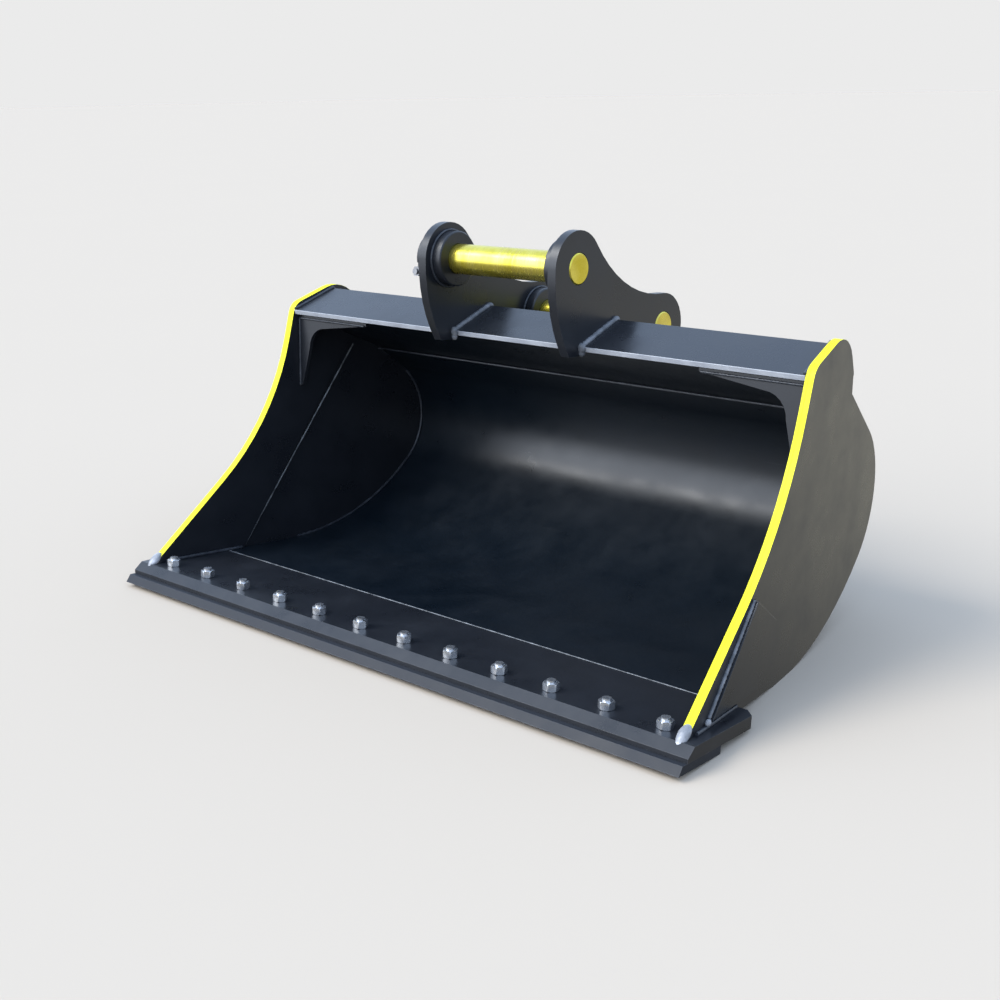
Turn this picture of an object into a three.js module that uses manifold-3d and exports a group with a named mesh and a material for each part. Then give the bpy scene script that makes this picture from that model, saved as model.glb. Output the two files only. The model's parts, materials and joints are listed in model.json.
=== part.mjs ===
// Grading bucket for an excavator of about twenty tonnes, welded from plate, with a
// bolt-on cutting edge and two hanger pins. Millimetres, +Z up.
//
// The bucket is drawn in its building frame: x runs across it, y runs back from the row of
// edge bolts, and z runs up from the top face of the base blade. The finished group is then
// tipped and lowered until it stands on its cutting edge and its belly.

import * as THREE from 'three';
import { mergeVertices } from 'three/addons/utils/BufferGeometryUtils.js';
import Module from 'manifold-3d';

const wasm = await Module();
wasm.setup();

// ---- driving dimensions ------------------------------------------------------------------

const weldGap = 0.3; // left between pieces that are welded or bolted face to face

// mouth and side plates
const insideWidth = 1769; // between the lip liners, at the bolt row on the blade
const planTaper = THREE.MathUtils.degToRad(6.1); // the sides close in towards the back
const sideFlare = THREE.MathUtils.degToRad(1.5); // and open out towards the top
const linerThickness = 8; // liner inside each front edge
const sidePlateThickness = 14;
const sideOverhang = 6; // side plates stand this far past the wrapper

// front edge of the sides, from the blade up to the beam
const edgeFootSetback = -31; // y of the foot of the edge on the blade
const edgeLowerAngle = 42; // degrees above level
const edgeLowerLength = 322;
const edgeArcRadius = 790;
const edgeUpperAngle = 77;
const edgeUpperLength = 80;

// nose of the side plates, above the beam
const noseFrontRadius = 46;
const noseTopAngle = 22;
const noseTopLength = 104;
const noseCrownRadius = 92;
const noseBackAngle = -60;
const noseBackLength = 46;
const noseHeelRadius = 14;
const noseHeelAngle = -114;

// wrapper: flat floor, big belly arc, tight back arc, straight top
const shellThickness = 12;
const floorFlat = 225; // flat floor behind the blade
const bellyRadius = 690;
const bellyEndAngle = 45.7;
const standingFlatHalf = 3.5; // half angle of the pressed flat that the belly stands on
const backRadius = 214;
const backEndAngle = 146;
const backStraight = 203;

// base blade and the cutting edge bolted under it
const bladeThickness = 30;
const bladeLength = 1874;
const bladeFront = 65; // ahead of the bolt row
const bladeRear = 215; // behind the bolt row
const bladeBevelRun = 24;
const bladeBevelDrop = 20;
const bladeRearBevel = 22;
const bladeCornerCut = 24; // plan chamfer of the rear corners
const edgeThickness = 20;
const edgeLength = 1872;
const edgeFront = 96;
const edgeRear = 68;
const edgeBevelRun = 14;

// plough bolts and nuts
const boltCount = 12;
const boltPitch = 152.4;
const boltDiameter = 22;
const boltHoleClearance = 1;
const boltHeadDiameter = 39;
const boltHeadDepth = 11;
const boltHeadRecess = 0.6;
const boltEndStandout = 6; // thread past the nut
const nutAcrossFlats = 34;
const nutHeight = 19;

// beam across the top: sloping top plate, rear plate and closing plate
const lipFront = 467;
const lipTop = 709;
const beamTopLength = 158;
const beamTopAngle = THREE.MathUtils.degToRad(23.1);
const beamTopThickness = 15;
const beamPlateThickness = 8;
const closingSetback = 12; // closing plate starts this far behind the lip
const closingReach = 84; // and meets the wrapper this far below its top edge

// corner gussets under the beam
const gussetThickness = 12;
const gussetSetback = 20; // behind the lip
const gussetWidth = 285;
const gussetDrop = 212;
const gussetNib = 10; // blunt ends of the gusset
const gussetRadius = 62;

// wear plates outside the lower front corners
const wearThickness = 12;
const wearToeY = 69;
const wearToeZ = 17; // above the blade
const wearFrontAngle = 49.8; // degrees above level
const wearFrontLength = 286;
const wearTopAngle = -31;
const wearTopLength = 140;
const wearRearDrop = 45;
const wearBottomLength = 231;

// hanger ears
const earSpacing = 456; // over the outer faces
const earThickness = 25;
const earHeadRadius = 95;
const earLobeRadius = 90;
const earSaddleRadius = 385;
const earFrontRadius = 374;
const earTipDrop = 24; // tip hangs this far below the lip's top edge
const frontPinY = 442;
const frontPinZ = 904;
const rearPinY = 841;
const rearPinZ = 740;

// pins, bosses and keepers
const pinDiameter = 80;
const pinClearance = 0.6; // on the radius
const pinEndChamfer = 3;
const pinStandout = 2;
const bossDiameter = 146;
const innerBossThickness = 31;
const collarThickness = 38;
const collarDiameter = 126;
const keeperDiameter = 16;
const keeperClearance = 0.5;
const keeperOffset = 36; // keeper axis below the pin axis
const keeperSeat = 56; // flats on the collar, from the pin axis
const keeperAcrossFlats = 24;
const keeperHeadHeight = 10;
const keeperNutHeight = 13;
const keeperEndStandout = 6;

const roundSegments = 40;
const smallSegments = 20;

// ---- finishes ----------------------------------------------------------------------------

function finish(color, roughness, metalness) {
  return new THREE.MeshStandardMaterial({ color, roughness, metalness });
}

const graphitePaint = finish(0x24272c, 0.38, 0.1);
const edgePaint = finish(0xf4ee12, 0.45, 0.0);
const wearSteel = finish(0x2b2e33, 0.45, 0.3);
const goldZinc = finish(0xb9a44a, 0.35, 0.9);
const brightZinc = finish(0xb9bcc0, 0.35, 0.9);

// ---- drawing helpers ---------------------------------------------------------------------

const degrees = THREE.MathUtils.degToRad;

// A pen that walks an outline in the y-z plane by straight runs and tangent arcs.
class Pen {
  constructor(y, z, heading) {
    this.at = new THREE.Vector2(y, z);
    this.heading = degrees(heading);
    this.points = [this.at.clone()];
  }

  run(length) {
    this.at.x += length * Math.cos(this.heading);
    this.at.y += length * Math.sin(this.heading);
    this.points.push(this.at.clone());
    return this;
  }

  turn(heading) {
    this.heading = degrees(heading);
    return this;
  }

  arc(radius, heading, steps) {
    const end = degrees(heading);
    const turn = Math.sign(end - this.heading);
    const centre = new THREE.Vector2(
      this.at.x - turn * radius * Math.sin(this.heading),
      this.at.y + turn * radius * Math.cos(this.heading),
    );
    for (let step = 1; step <= steps; step += 1) {
      const angle = THREE.MathUtils.lerp(this.heading, end, step / steps);
      this.points.push(new THREE.Vector2(
        centre.x + turn * radius * Math.sin(angle),
        centre.y - turn * radius * Math.cos(angle),
      ));
    }
    this.at.copy(this.points[this.points.length - 1]);
    this.heading = end;
    return this;
  }
}

// Points of a round stretch about a centre, from one direction to another, in radians.
function roundStretch(centreY, centreZ, radius, from, to, steps) {
  const points = [];
  for (let step = 0; step <= steps; step += 1) {
    const angle = THREE.MathUtils.lerp(from, to, step / steps);
    points.push(new THREE.Vector2(
      centreY + radius * Math.cos(angle),
      centreZ + radius * Math.sin(angle),
    ));
  }
  return points;
}

// A line beside another one: mitred at the corners, to the left of travel when positive.
function lineBeside(points, distance) {
  return points.map((point, index) => {
    const before = points[Math.max(index - 1, 0)];
    const after = points[Math.min(index + 1, points.length - 1)];
    const arriving = point.clone().sub(index > 0 ? before : point).normalize();
    const leaving = after.clone().sub(index < points.length - 1 ? point : after).normalize();
    const normalIn = new THREE.Vector2(-arriving.y, arriving.x);
    const normalOut = new THREE.Vector2(-leaving.y, leaving.x);
    const mitre = normalIn.clone().add(normalOut).normalize();
    const reference = index > 0 ? normalIn : normalOut;
    return point.clone().addScaledVector(mitre, distance / mitre.dot(reference));
  });
}

// Where the straight line through two points reaches the line through two others.
function meeting(a, b, c, d) {
  const along = b.clone().sub(a);
  const across = d.clone().sub(c);
  const share = c.clone().sub(a).cross(across) / along.cross(across);
  return a.clone().addScaledVector(along, share);
}

function halfInside(y, z) {
  return insideWidth / 2 - Math.tan(planTaper) * y + Math.tan(sideFlare) * z;
}

// Moves every corner of a unit-deep extrusion of a y-z outline to its place across the bucket.
function placeAcross(outline, acrossAt, holes = []) {
  const shape = new THREE.Shape(outline);
  shape.holes = holes.map((hole) => new THREE.Path(hole));
  const geometry = new THREE.ExtrudeGeometry(shape, { depth: 1, bevelEnabled: false });
  const place = geometry.attributes.position;
  for (let index = 0; index < place.count; index += 1) {
    const y = place.getX(index);
    const z = place.getY(index);
    place.setXYZ(index, acrossAt(y, z, place.getZ(index)), y, z);
  }
  geometry.deleteAttribute('uv');
  geometry.computeVertexNormals();
  return geometry;
}

// A plate that runs across the bucket between its two sides.
function betweenSides(outline, beyondLiner) {
  return placeAcross(outline, (y, z, share) => (
    (2 * share - 1) * (halfInside(y, z) + beyondLiner - weldGap)
  ));
}

// A plate of even thickness lying in the plane of one side.
function sidePlate(outline, side, beyondLiner, thickness) {
  return placeAcross(outline, (y, z, share) => {
    const depth = side > 0 ? share : 1 - share;
    return side * (halfInside(y, z) + beyondLiner + depth * thickness);
  });
}

// A plate square to x, from one x to a higher one.
function squarePlate(outline, fromX, toX, holes = []) {
  return placeAcross(outline, (y, z, share) => THREE.MathUtils.lerp(fromX, toX, share), holes);
}

// A turned piece about an axis along x, from its radius and its place along the axis.
function turnedAlongX(profile, segments) {
  const points = profile.map(([radius, along]) => new THREE.Vector2(radius, along));
  return new THREE.LatheGeometry(points, segments).rotateZ(-Math.PI / 2);
}

function ring(innerRadius, outerRadius, fromX, toX, chamfer) {
  return turnedAlongX([
    [innerRadius, fromX],
    [outerRadius - chamfer, fromX],
    [outerRadius, fromX + chamfer],
    [outerRadius, toX - chamfer],
    [outerRadius - chamfer, toX],
    [innerRadius, toX],
    [innerRadius, fromX],
  ], roundSegments);
}

function solidOf(geometry) {
  const bare = new THREE.BufferGeometry();
  bare.setAttribute('position', geometry.attributes.position);
  if (geometry.index) bare.setIndex(geometry.index);
  const merged = mergeVertices(bare, 1e-4);
  return new wasm.Manifold(new wasm.Mesh({
    numProp: 3,
    vertProperties: new Float32Array(merged.attributes.position.array),
    triVerts: new Uint32Array(merged.index.array),
  }));
}

function geometryOf(solid) {
  const mesh = solid.getMesh();
  const geometry = new THREE.BufferGeometry();
  geometry.setAttribute('position', new THREE.BufferAttribute(mesh.vertProperties, 3));
  geometry.setIndex(new THREE.BufferAttribute(mesh.triVerts, 1));
  geometry.computeVertexNormals();
  return geometry;
}

function hexagon(acrossFlats) {
  const radius = acrossFlats / Math.sqrt(3);
  return roundStretch(0, 0, radius, 0, 2 * Math.PI, 6).slice(0, 6);
}

const bucket = new THREE.Group();

function addPart(name, geometry, material) {
  const part = new THREE.Mesh(geometry, material);
  part.name = name;
  bucket.add(part);
  return part;
}

// ---- outlines shared by several pieces ---------------------------------------------------

const edgeTopZ = -bladeThickness - weldGap;
const edgeBottomZ = edgeTopZ - edgeThickness;

// The ground touches the rear bottom corner of the cutting edge and a pressed flat of the
// belly, so the tilt follows from where these two are.
const bellyCentre = new THREE.Vector2(bladeRear + weldGap + floorFlat, bellyRadius - shellThickness);
const heelToCentre = bellyCentre.clone().sub(new THREE.Vector2(edgeRear, edgeBottomZ));
const flatReach = (bellyRadius + sideOverhang) * Math.cos(degrees(standingFlatHalf));
const standingTilt = Math.acos(flatReach / heelToCentre.length())
  - Math.atan2(heelToCentre.x, heelToCentre.y);
const standingTiltDegrees = THREE.MathUtils.radToDeg(standingTilt);

const wrapperPen = new Pen(bladeRear + weldGap, -shellThickness, 0);
wrapperPen.run(floorFlat)
  .arc(bellyRadius, standingTiltDegrees - standingFlatHalf, 1)
  .arc(bellyRadius, standingTiltDegrees + standingFlatHalf, 1)
  .arc(bellyRadius, bellyEndAngle, 8);
const wrapperBackStart = wrapperPen.points.length - 1;
wrapperPen.arc(backRadius, backEndAngle, 15);
const wrapperBackEnd = wrapperPen.points.length - 1;
const wrapperOuter = wrapperPen.run(backStraight).points;
const wrapperInner = lineBeside(wrapperOuter, shellThickness);
const wrapperTop = wrapperOuter[wrapperOuter.length - 1];

const frontEdge = new Pen(edgeFootSetback, weldGap, edgeLowerAngle)
  .run(edgeLowerLength)
  .arc(edgeArcRadius, edgeUpperAngle, 9)
  .run(edgeUpperLength)
  .arc(noseFrontRadius, noseTopAngle, 4)
  .run(noseTopLength)
  .arc(noseCrownRadius, noseBackAngle, 7)
  .run(noseBackLength)
  .arc(noseHeelRadius, noseHeelAngle, 3)
  .points;

const beamFront = new THREE.Vector2(lipFront, lipTop);
const beamAlong = new THREE.Vector2(Math.cos(beamTopAngle), Math.sin(beamTopAngle));
const beamRear = beamFront.clone().addScaledVector(beamAlong, beamTopLength);

// ---- side plates, lip liners and wear plates ---------------------------------------------

function sidePlateOutline() {
  const rim = lineBeside(wrapperOuter, -sideOverhang).reverse();
  rim[rim.length - 1].x = bladeRear + 2 * weldGap;
  return [
    ...frontEdge,
    ...rim,
    new THREE.Vector2(bladeRear + 2 * weldGap, weldGap),
  ];
}

// The liner stops on a straight line from the floor to the heel of the nose.
const linerFloorEnd = 271;

function linerOutline() {
  return [...frontEdge, new THREE.Vector2(linerFloorEnd, weldGap)];
}

function wearOutline() {
  const outline = new Pen(wearToeY, wearToeZ, wearFrontAngle)
    .run(wearFrontLength)
    .turn(wearTopAngle)
    .run(wearTopLength)
    .turn(-90)
    .run(wearRearDrop);
  const heel = new THREE.Vector2(wearToeY + wearBottomLength, wearToeZ);
  return [...outline.points, heel].reverse();
}

for (const [word, side] of [['left', -1], ['right', 1]]) {
  const outward = linerThickness + weldGap;
  const outside = outward + sidePlateThickness + weldGap;
  addPart(`${word}_side_plate`, sidePlate(sidePlateOutline(), side, outward, sidePlateThickness),
    graphitePaint);
  addPart(`${word}_lip_liner`, sidePlate(linerOutline(), side, 0, linerThickness), edgePaint);
  addPart(`${word}_wear_plate`, sidePlate(wearOutline(), side, outside, wearThickness), graphitePaint);
}

// ---- wrapper -----------------------------------------------------------------------------

addPart('wrapper_shell', betweenSides([...wrapperOuter, ...wrapperInner.slice().reverse()],
  linerThickness), graphitePaint);

// ---- beam across the top -----------------------------------------------------------------

function beamTopOutline() {
  const down = new THREE.Vector2(beamAlong.y, -beamAlong.x).multiplyScalar(beamTopThickness);
  return [beamFront, beamFront.clone().add(down), beamRear.clone().add(down), beamRear];
}

// The rear plate fills the space from the top plate down to the upper edge of the wrapper.
function beamRearOutline() {
  const down = new THREE.Vector2(beamAlong.y, -beamAlong.x);
  const underA = beamFront.clone().addScaledVector(down, beamTopThickness + weldGap);
  const underB = beamRear.clone().addScaledVector(down, beamTopThickness + weldGap);
  const wrapperInnerTop = wrapperInner[wrapperInner.length - 1];
  const straightUp = wrapperTop.clone().sub(wrapperOuter[wrapperBackEnd]).normalize();
  const lowA = wrapperTop.clone().addScaledVector(straightUp, weldGap);
  const lowB = wrapperInnerTop.clone().addScaledVector(straightUp, weldGap);
  const outer = [lowA, beamRear];
  const inner = lineBeside(outer, beamPlateThickness);
  const topOuter = meeting(outer[0], outer[1], underA, underB);
  const topInner = meeting(inner[0], inner[1], underA, underB);
  const lowInner = meeting(inner[0], inner[1], lowA, lowB);
  return [lowA, topOuter, topInner, lowInner];
}

// The closing plate runs from behind the lip down to the inside of the wrapper.
function closingOutline() {
  const down = new THREE.Vector2(beamAlong.y, -beamAlong.x);
  const underA = beamFront.clone().addScaledVector(down, beamTopThickness + weldGap);
  const underB = underA.clone().add(beamAlong);
  const start = underA.clone().addScaledVector(beamAlong, closingSetback);
  const faceLow = wrapperInner[wrapperBackEnd];
  const faceHigh = wrapperInner[wrapperInner.length - 1];
  const offFace = lineBeside([faceLow, faceHigh], weldGap);
  const reach = faceHigh.clone().sub(faceLow).normalize().multiplyScalar(-closingReach);
  const end = offFace[1].clone().add(reach);
  const lower = [start, end];
  const upper = lineBeside(lower, beamPlateThickness);
  return [
    start,
    end,
    meeting(upper[0], upper[1], offFace[0], offFace[1]),
    meeting(upper[0], upper[1], underA, underB),
  ];
}

addPart('beam_top_plate', betweenSides(beamTopOutline(), 0), graphitePaint);
addPart('beam_rear_plate', betweenSides(beamRearOutline(), 0), graphitePaint);
addPart('beam_closing_plate', betweenSides(closingOutline(), 0), graphitePaint);

// ---- corner gussets ----------------------------------------------------------------------

// Each gusset stands square to y: an L with a hollow inner corner, under the closing plate
// and against the liner. It is drawn in x and z and trimmed by the slopes it meets.
function gusset(side) {
  const frontY = lipFront + gussetSetback;
  const rearY = frontY + gussetThickness;
  const [start, end] = closingOutline();
  const slope = (end.y - start.y) / (end.x - start.x);
  const topAt = (y) => start.y + slope * (y - start.x) - weldGap / Math.cos(Math.atan(slope));
  const top = topAt(rearY);
  const sideX = halfInside(rearY, top - gussetDrop) - weldGap;
  const foot = top - gussetDrop;
  const sideTopX = halfInside(rearY, top) - weldGap;
  const innerX = sideTopX - gussetWidth;
  const legX = sideX - 40;
  const armZ = top - 34;
  const hollow = roundStretch(legX - gussetRadius, armZ - gussetRadius, gussetRadius,
    0, Math.PI / 2, 6);
  const outline = [
    new THREE.Vector2(sideTopX, top),
    new THREE.Vector2(innerX, top),
    new THREE.Vector2(innerX, top - gussetNib),
    ...hollow.slice().reverse(),
    new THREE.Vector2(sideX - gussetNib, foot),
    new THREE.Vector2(sideX, foot),
  ];
  const shape = new THREE.Shape(outline.map((point) => new THREE.Vector2(side * point.x, point.y)));
  const geometry = new THREE.ExtrudeGeometry(shape, { depth: gussetThickness, bevelEnabled: false });
  geometry.rotateX(Math.PI / 2);
  geometry.translate(0, rearY, 0);
  return geometry;
}

addPart('left_gusset', gusset(-1), graphitePaint);
addPart('right_gusset', gusset(1), graphitePaint);

// ---- base blade, cutting edge, bolts and nuts --------------------------------------------

const boltPlaces = Array.from({ length: boltCount }, (_, index) => (
  (index - (boltCount - 1) / 2) * boltPitch
));
const boltHeadZ = edgeBottomZ + boltHeadRecess;
const neckZ = boltHeadZ + boltHeadDepth;
const boltEndZ = weldGap + nutHeight + boltEndStandout;

function uprightCylinder(radius, fromZ, toZ, x) {
  return new THREE.CylinderGeometry(radius, radius, toZ - fromZ, smallSegments)
    .rotateX(Math.PI / 2)
    .translate(x, 0, (fromZ + toZ) / 2);
}

// The square neck and the cone of a plough bolt, grown all round by a clearance.
function boltSeat(x, clearance) {
  const neck = new THREE.BoxGeometry(boltDiameter + 2 * clearance, boltDiameter + 2 * clearance,
    edgeTopZ - neckZ + 1);
  neck.translate(x, 0, (edgeTopZ + neckZ - 1) / 2);
  const headRadius = boltHeadDiameter / 2 + clearance;
  const cone = new THREE.CylinderGeometry(boltDiameter / 2 + clearance, headRadius, boltHeadDepth,
    smallSegments).rotateX(Math.PI / 2).translate(x, 0, boltHeadZ + boltHeadDepth / 2);
  return solidOf(neck).add(solidOf(cone));
}

function baseBlade() {
  const outline = [
    new THREE.Vector2(-bladeFront, -bladeThickness),
    new THREE.Vector2(bladeRear - bladeRearBevel, -bladeThickness),
    new THREE.Vector2(bladeRear, -shellThickness),
    new THREE.Vector2(bladeRear, 0),
    new THREE.Vector2(-bladeFront + bladeBevelRun, 0),
    new THREE.Vector2(-bladeFront, -bladeBevelDrop),
  ];
  let blade = solidOf(squarePlate(outline, -bladeLength / 2, bladeLength / 2));
  for (const side of [-1, 1]) {
    const corner = new THREE.BoxGeometry(bladeCornerCut * Math.SQRT2, bladeCornerCut * Math.SQRT2,
      3 * bladeThickness).rotateZ(Math.PI / 4);
    corner.translate(side * bladeLength / 2, bladeRear, -bladeThickness / 2);
    blade = blade.subtract(solidOf(corner));
  }
  for (const x of boltPlaces) {
    const hole = uprightCylinder(boltDiameter / 2 + boltHoleClearance, -2 * bladeThickness,
      bladeThickness, x);
    blade = blade.subtract(solidOf(hole));
  }
  return geometryOf(blade);
}

function cuttingEdge() {
  const outline = [
    new THREE.Vector2(-edgeFront, edgeBottomZ),
    new THREE.Vector2(edgeRear, edgeBottomZ),
    new THREE.Vector2(edgeRear, edgeTopZ),
    new THREE.Vector2(-edgeFront + edgeBevelRun, edgeTopZ),
  ];
  let edge = solidOf(squarePlate(outline, -edgeLength / 2, edgeLength / 2));
  for (const x of boltPlaces) {
    const opening = uprightCylinder(boltHeadDiameter / 2 + boltHoleClearance,
      edgeBottomZ - edgeThickness, boltHeadZ, x);
    const seat = boltSeat(x, boltHoleClearance);
    const neckTop = new THREE.BoxGeometry(boltDiameter + 2 * boltHoleClearance,
      boltDiameter + 2 * boltHoleClearance, edgeThickness);
    neckTop.translate(x, 0, edgeTopZ);
    edge = edge.subtract(solidOf(opening)).subtract(seat).subtract(solidOf(neckTop));
  }
  return geometryOf(edge);
}

function ploughBolt(x) {
  const shank = uprightCylinder(boltDiameter / 2, boltHeadZ + boltHeadDepth / 2, boltEndZ, x);
  return geometryOf(boltSeat(x, 0).add(solidOf(shank)));
}

function edgeNut(x) {
  const shape = new THREE.Shape(hexagon(nutAcrossFlats));
  const bore = roundStretch(0, 0, boltDiameter / 2 + weldGap, 0, 2 * Math.PI, smallSegments);
  shape.holes.push(new THREE.Path(bore.slice(0, smallSegments)));
  const nut = new THREE.ExtrudeGeometry(shape, { depth: nutHeight, bevelEnabled: false });
  return nut.translate(x, 0, weldGap);
}

addPart('base_blade', baseBlade(), wearSteel);
addPart('cutting_edge', cuttingEdge(), wearSteel);
boltPlaces.forEach((x, index) => {
  const number = String(index + 1).padStart(2, '0');
  addPart(`edge_bolt_${number}`, ploughBolt(x), brightZinc);
  addPart(`edge_nut_${number}`, edgeNut(x), brightZinc);
});

// ---- hanger ears -------------------------------------------------------------------------

// The saddle between head and lobe is an arc that touches both round ends from above.
function saddleCentre() {
  const span = new THREE.Vector2(rearPinY - frontPinY, rearPinZ - frontPinZ);
  const toHead = earHeadRadius + earSaddleRadius;
  const toLobe = earLobeRadius + earSaddleRadius;
  const along = (toHead ** 2 - toLobe ** 2 + span.lengthSq()) / (2 * span.length());
  const away = Math.sqrt(toHead ** 2 - along ** 2);
  const unit = span.clone().normalize();
  return new THREE.Vector2(
    frontPinY + unit.x * along - unit.y * away,
    frontPinZ + unit.y * along + unit.x * away,
  );
}

function earOutline() {
  const saddle = saddleCentre();
  const headJoin = Math.atan2(saddle.y - frontPinZ, saddle.x - frontPinY);
  const lobeJoin = Math.atan2(saddle.y - rearPinZ, saddle.x - rearPinY);

  // seat of the ear on the lip, the beam and the wrapper, from the tip to the toe
  const seatLine = [
    new THREE.Vector2(lipFront, lipTop - earTipDrop),
    beamFront,
    beamRear,
    wrapperTop,
    wrapperOuter[wrapperBackEnd],
  ];
  const seat = lineBeside(seatLine, weldGap);
  const toe = seat[seat.length - 1];

  const toToe = new THREE.Vector2(toe.x - rearPinY, toe.y - rearPinZ);
  const lobeEnd = Math.atan2(toToe.y, toToe.x) + Math.acos(earLobeRadius / toToe.length());

  const frontCentreY = frontPinY - earHeadRadius + earFrontRadius;
  const tipZ = lipTop - earTipDrop;
  const tipAngle = Math.PI + Math.asin((frontPinZ - tipZ) / earFrontRadius);

  return [
    ...roundStretch(frontCentreY, frontPinZ, earFrontRadius, tipAngle, Math.PI, 6).slice(0, -1),
    ...roundStretch(frontPinY, frontPinZ, earHeadRadius, Math.PI, headJoin, 14).slice(0, -1),
    ...roundStretch(saddle.x, saddle.y, earSaddleRadius, headJoin + Math.PI,
      lobeJoin + Math.PI, 9).slice(0, -1),
    ...roundStretch(rearPinY, rearPinZ, earLobeRadius, lobeJoin, lobeEnd, 10),
    ...seat.slice().reverse(),
  ].reverse();
}

const boreRadius = pinDiameter / 2 + pinClearance;
const pinPlaces = [['front', frontPinY, frontPinZ], ['rear', rearPinY, rearPinZ]];
const earOuterX = earSpacing / 2;
const earInnerX = earOuterX - earThickness;

function bore(y, z) {
  return roundStretch(y, z, boreRadius, 0, 2 * Math.PI, roundSegments).slice(0, roundSegments);
}

for (const [word, side] of [['left', -1], ['right', 1]]) {
  const fromX = side > 0 ? earInnerX : -earOuterX;
  const holes = pinPlaces.map(([, y, z]) => bore(y, z));
  addPart(`${word}_ear`, squarePlate(earOutline(), fromX, fromX + earThickness, holes), graphitePaint);
}

// ---- pins, bosses, collars and keepers ---------------------------------------------------

const innerBossX = earInnerX - weldGap;
const collarInnerX = earOuterX + weldGap;
const collarOuterX = collarInnerX + collarThickness;
const keeperX = -(collarInnerX + collarThickness / 2);

function hangerPin() {
  const radius = pinDiameter / 2;
  const leftEnd = -(collarOuterX + pinStandout);
  const rightEnd = earOuterX + pinStandout;
  const grooveHalf = keeperDiameter / 2 + keeperClearance;
  const grooveRadius = keeperOffset - keeperDiameter / 2 - keeperClearance;
  return turnedAlongX([
    [0, leftEnd],
    [radius - pinEndChamfer, leftEnd],
    [radius, leftEnd + pinEndChamfer],
    [radius, keeperX - grooveHalf],
    [grooveRadius, keeperX - grooveHalf],
    [grooveRadius, keeperX + grooveHalf],
    [radius, keeperX + grooveHalf],
    [radius, rightEnd - pinEndChamfer],
    [radius - pinEndChamfer, rightEnd],
    [0, rightEnd],
  ], roundSegments);
}

// The collar is welded outside the left ear; the keeper crosses it through the pin's groove.
function keeperCollar() {
  let collar = solidOf(ring(boreRadius, collarDiameter / 2, -collarOuterX, -collarInnerX, 2));
  const hole = new THREE.CylinderGeometry(keeperDiameter / 2 + keeperClearance,
    keeperDiameter / 2 + keeperClearance, 2 * collarDiameter, smallSegments);
  hole.translate(keeperX, 0, -keeperOffset);
  collar = collar.subtract(solidOf(hole));
  for (const end of [-1, 1]) {
    const flat = new THREE.BoxGeometry(2 * collarThickness, collarDiameter, 2 * keeperOffset);
    flat.translate(keeperX, end * (keeperSeat + collarDiameter / 2) * 0.999, -keeperOffset * 1.4);
    collar = collar.subtract(solidOf(flat));
  }
  return geometryOf(collar);
}

// The keeper lies along y, with its head at the back and its nut and lock nut at the front.
function keeperBolt() {
  const headFrom = keeperSeat + weldGap;
  const shankEnd = -(keeperSeat + 2 * (weldGap + keeperNutHeight) + keeperEndStandout);
  const head = new THREE.ExtrudeGeometry(new THREE.Shape(hexagon(keeperAcrossFlats)),
    { depth: keeperHeadHeight, bevelEnabled: false }).rotateX(-Math.PI / 2);
  head.translate(keeperX, headFrom, -keeperOffset);
  const shankTop = headFrom + keeperHeadHeight / 2;
  const shank = new THREE.CylinderGeometry(keeperDiameter / 2, keeperDiameter / 2,
    shankTop - shankEnd, smallSegments);
  shank.translate(keeperX, (shankTop + shankEnd) / 2, -keeperOffset);
  return geometryOf(solidOf(head).add(solidOf(shank)));
}

function keeperNut(seat) {
  const shape = new THREE.Shape(hexagon(keeperAcrossFlats));
  const hole = roundStretch(0, 0, keeperDiameter / 2 + weldGap, 0, 2 * Math.PI, smallSegments);
  shape.holes.push(new THREE.Path(hole.slice(0, smallSegments)));
  const nut = new THREE.ExtrudeGeometry(shape, { depth: keeperNutHeight, bevelEnabled: false });
  nut.rotateX(Math.PI / 2);
  return nut.translate(keeperX, -seat, -keeperOffset);
}

for (const [word, y, z] of pinPlaces) {
  const innerRing = (side) => ring(boreRadius, bossDiameter / 2,
    Math.min(side * innerBossX, side * (innerBossX - innerBossThickness)),
    Math.max(side * innerBossX, side * (innerBossX - innerBossThickness)), 3);
  const pieces = [
    [`left_${word}_boss`, innerRing(-1), graphitePaint],
    [`right_${word}_boss`, innerRing(1), graphitePaint],
    [`${word}_keeper_collar`, keeperCollar(), graphitePaint],
    [`${word}_pin`, hangerPin(), goldZinc],
    [`${word}_keeper_bolt`, keeperBolt(), brightZinc],
    [`${word}_keeper_nut`, keeperNut(keeperSeat + weldGap), brightZinc],
    [`${word}_keeper_locknut`, keeperNut(keeperSeat + 2 * weldGap + keeperNutHeight), brightZinc],
  ];
  for (const [name, geometry, material] of pieces) {
    addPart(name, geometry, material).position.set(0, y, z);
  }
}

// ---- standing the bucket up --------------------------------------------------------------

bucket.rotation.x = -standingTilt;
bucket.updateMatrixWorld(true);
const extent = new THREE.Box3().setFromObject(bucket, true);
bucket.position.set(0, -(extent.min.y + extent.max.y) / 2, -extent.min.z);
bucket.updateMatrixWorld(true);

const excavatorBucket = new THREE.Group();
excavatorBucket.add(bucket);

export default excavatorBucket;
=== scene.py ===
import json
import math
import random

import bpy
from mathutils import Matrix, Vector


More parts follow.
